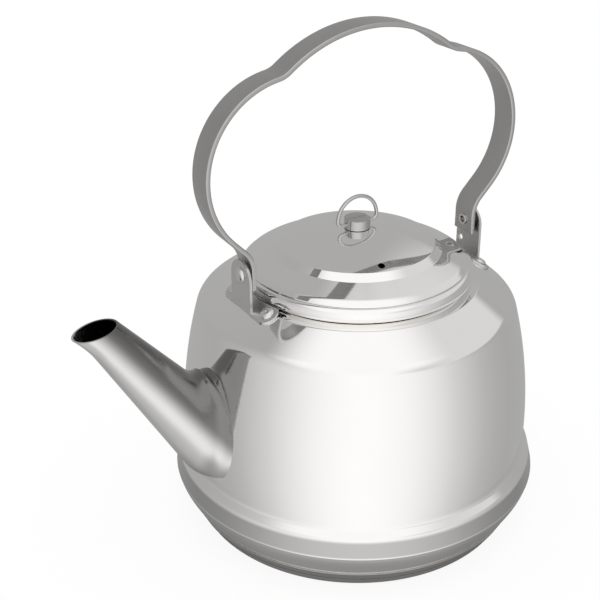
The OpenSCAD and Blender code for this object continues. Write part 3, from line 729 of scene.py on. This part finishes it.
knob_steel = steel("knob_steel", (0.62, 0.61, 0.60), 0.12, 0.08, (300, 300, 3000), 0.000004, 0.04)
knob = softened("knob_button", "knob", 0.0003)
dressed(knob, knob_steel, "lid", "knob_steel", "knob")

# ---- knob ring ----
# A loop of 2.4 mm wire whose two ends bend inward and spring into the knob's cross hole,
# so that it can be swung down flat on either side.

wire_tree, wire = growth_tree("wire_along_path", {
    "Radius": "NodeSocketFloat", "Material": "NodeSocketMaterial"})
start = Value(wire_tree)
line = start.node("GeometryNodeMeshToCurve", None, {"Mesh": wire["Geometry"]})
line = start.node("GeometryNodeSetCurveNormal", {"mode": "Z_UP"}, {"Curve": line})
ring_section = start.node("GeometryNodeCurvePrimitiveCircle", None,
                          {"Resolution": 28, "Radius": wire["Radius"]})
round_wire = start.node("GeometryNodeCurveToMesh", None,
                        {"Curve": line, "Profile Curve": ring_section, "Fill Caps": True})
finish_tree(wire_tree, round_wire, wire["Material"])

ring_low, ring_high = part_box("knob_ring")
wire_d = 0.0024
ring_bend_r = 0.0032
ring_r = (ring_high.x - ring_low.x - wire_d) / 2
ring_pivot_z = ring_low.z + wire_d / 2
wire_grip = 0.0032
grip_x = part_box("knob")[1].x - wire_grip
ring_half = [(grip_x, ring_pivot_z), (ring_r - ring_bend_r, ring_pivot_z)]
heading = bend(ring_half, 0.0, ring_bend_r, math.pi / 2, 14)
bend(ring_half, heading, ring_r, math.pi / 2, 40)
ring_path = ring_half + [(-x, z) for x, z in ring_half[-2::-1]]
knob_ring = grown(path_object("ring_wire", [(x, z, 0) for x, z in ring_path]), wire_tree,
                  {"Radius": wire_d / 2, "Material": knob_steel})
knob_ring.data.transform(Matrix.Rotation(math.pi / 2, 4, "X"))
dressed(knob_ring, knob_steel, "ring", "knob_steel", "knob_ring")

# ---- studio ----
# A white floor and white light for whatever is matt. The polished steel mirrors another world: bright
# towards one side and grey round the rest, a lamp overhead, a pale card at the right and grey below.
# To steel the floor is clear, except for a painted shadow: a dim ring round the kettle's foot.

floor_size = 6.0
floor_below = 0.0004
floor_whiteness = 0.85
foot_ring = (0.112, 0.165)
foot_ring_share = 0.75
floor_mesh = bpy.data.meshes.new("floor")
corners = [(-1, -1), (1, -1), (1, 1), (-1, 1)]
floor_mesh.from_pydata([(x * floor_size / 2, y * floor_size / 2, -floor_below) for x, y in corners], [],
                       [(0, 1, 2, 3)])
floor = bpy.data.objects.new("floor", floor_mesh)
bpy.context.scene.collection.objects.link(floor)
floor_paint = bpy.data.materials.new("floor_paint")
floor_paint.use_nodes = True
floor_paint.node_tree.nodes.clear()
start = Value(floor_paint.node_tree)
matte = start.node("ShaderNodeBsdfDiffuse", None, {"Color": (0.8, 0.8, 0.8, 1)})
white = start.node("ShaderNodeEmission", None, {"Color": (1, 1, 1, 1), "Strength": 1.04})
camera_ray = start.node("ShaderNodeLightPath", output="Is Camera Ray")
paint = start.node("ShaderNodeMixShader", None, {0: floor_whiteness * camera_ray, 1: matte, 2: white})
# Painted shadow: seen only in the steel, a dim ring round the foot stands for the kettle's shadow on the
# floor.
floor_place = start.node("ShaderNodeTexCoord", output="Object")
from_foot = start.node("ShaderNodeVectorMath", {"operation": "LENGTH"}, {0: floor_place}, output="Value")
shade = between(from_foot, *foot_ring, foot_ring_share, 0.0)
dim = start.node("ShaderNodeEmission", None, {"Color": (0.15, 0.15, 0.15, 1), "Strength": 1.0})
clear = start.node("ShaderNodeBsdfTransparent")
foot_shadow = start.node("ShaderNodeMixShader", None, {0: shade, 1: clear, 2: dim})
mirrored_ray = start.node("ShaderNodeLightPath", output="Is Glossy Ray")
paint = start.node("ShaderNodeMixShader", None, {0: mirrored_ray, 1: paint, 2: foot_shadow})
start.node("ShaderNodeOutputMaterial", None, {"Surface": paint})
floor_mesh.materials.append(floor_paint)

world = bpy.data.worlds.new("studio")
bpy.context.scene.world = world
world.use_nodes = True
world.node_tree.nodes.clear()
start = Value(world.node_tree)
direction = start.node("ShaderNodeTexCoord", output="Generated")
softbox_azimuth = math.radians(-27)
facing_axis = (math.sin(softbox_azimuth), -math.cos(softbox_azimuth), 0)
toward = start.node("ShaderNodeVectorMath", {"operation": "DOT_PRODUCT"}, {0: direction, 1: facing_axis},
                    output="Value")
height = start.node("ShaderNodeSeparateXYZ", None, {0: direction}, output="Z")
level = (1 - height * height).math("SQRT").math("MAXIMUM", 0.02)
facing = toward / level
around = start.node("ShaderNodeValToRGB", {"stops": [
    (0.0, 0.42), (0.3, 0.40), (0.43, 0.43), (0.543, 0.48), (0.63, 0.55), (0.735, 0.65), (0.84, 0.80),
    (0.933, 0.94), (1.0, 1.03)]}, {"Fac": 0.5 + 0.5 * facing})
lamp_tilt = math.radians(20)
lamp_axis = (facing_axis[0] * math.sin(lamp_tilt), facing_axis[1] * math.sin(lamp_tilt), math.cos(lamp_tilt))
to_lamp = start.node("ShaderNodeVectorMath", {"operation": "DOT_PRODUCT"}, {0: direction, 1: lamp_axis},
                     output="Value")
overhead = between(to_lamp, 0.70, 0.93)
right_axis = (math.cos(softbox_azimuth), math.sin(softbox_azimuth), 0)
aside = start.node("ShaderNodeVectorMath", {"operation": "DOT_PRODUCT"}, {0: direction, 1: right_axis},
                   output="Value") / level
card_side = between(aside, 0.30, 0.75)
card_low = between(height, 0.36, 0.46)
under = between(height, -0.97, -0.78, 1.0, 0.0)
sky = start.node("ShaderNodeMix", {"data_type": "RGBA"},
                 {"Factor": card_side * card_low, 6: around, 7: (0.70, 0.70, 0.70, 1)}, output=2)
sky = start.node("ShaderNodeMix", {"data_type": "RGBA"},
                 {"Factor": overhead, 6: sky, 7: (1.0, 1.0, 1.0, 1)}, output=2)
sky = start.node("ShaderNodeMix", {"data_type": "RGBA"},
                 {"Factor": under, 6: sky, 7: (0.62, 0.62, 0.62, 1)}, output=2)
mirrored = start.node("ShaderNodeBackground", None, {"Color": sky, "Strength": 1.0})
plain = start.node("ShaderNodeBackground", None, {"Color": (1, 1, 1, 1), "Strength": 1.0})
glossy_ray = start.node("ShaderNodeLightPath", output="Is Glossy Ray")
light = start.node("ShaderNodeMixShader", None, {0: glossy_ray, 1: plain, 2: mirrored})
start.node("ShaderNodeOutputWorld", None, {"Surface": light})

# ---- camera ----
# The photograph's viewpoint: from the spout's side and a little above the lid.
# Its place, direction and focal length were fitted to the kettle in the photograph.

camera_place = (-0.37408, -0.56090, 0.48000)
camera_forward = Vector((0.45610, 0.76908, -0.44776))
camera_data = bpy.data.cameras.new("camera")
camera_data.sensor_width = 36
camera_data.lens = 70.596
camera = bpy.data.objects.new("camera", camera_data)
bpy.context.scene.collection.objects.link(camera)
camera_right = Vector((0.85924, -0.51157, -0.00343)).normalized()
camera_up = camera_right.cross(camera_forward).normalized()
turn = Matrix((camera_right, camera_up, -camera_forward.normalized())).transposed()
camera.matrix_world = Matrix.Translation(camera_place) @ turn.to_4x4()
bpy.context.scene.camera = camera
bpy.context.scene.view_settings.view_transform = "Standard"
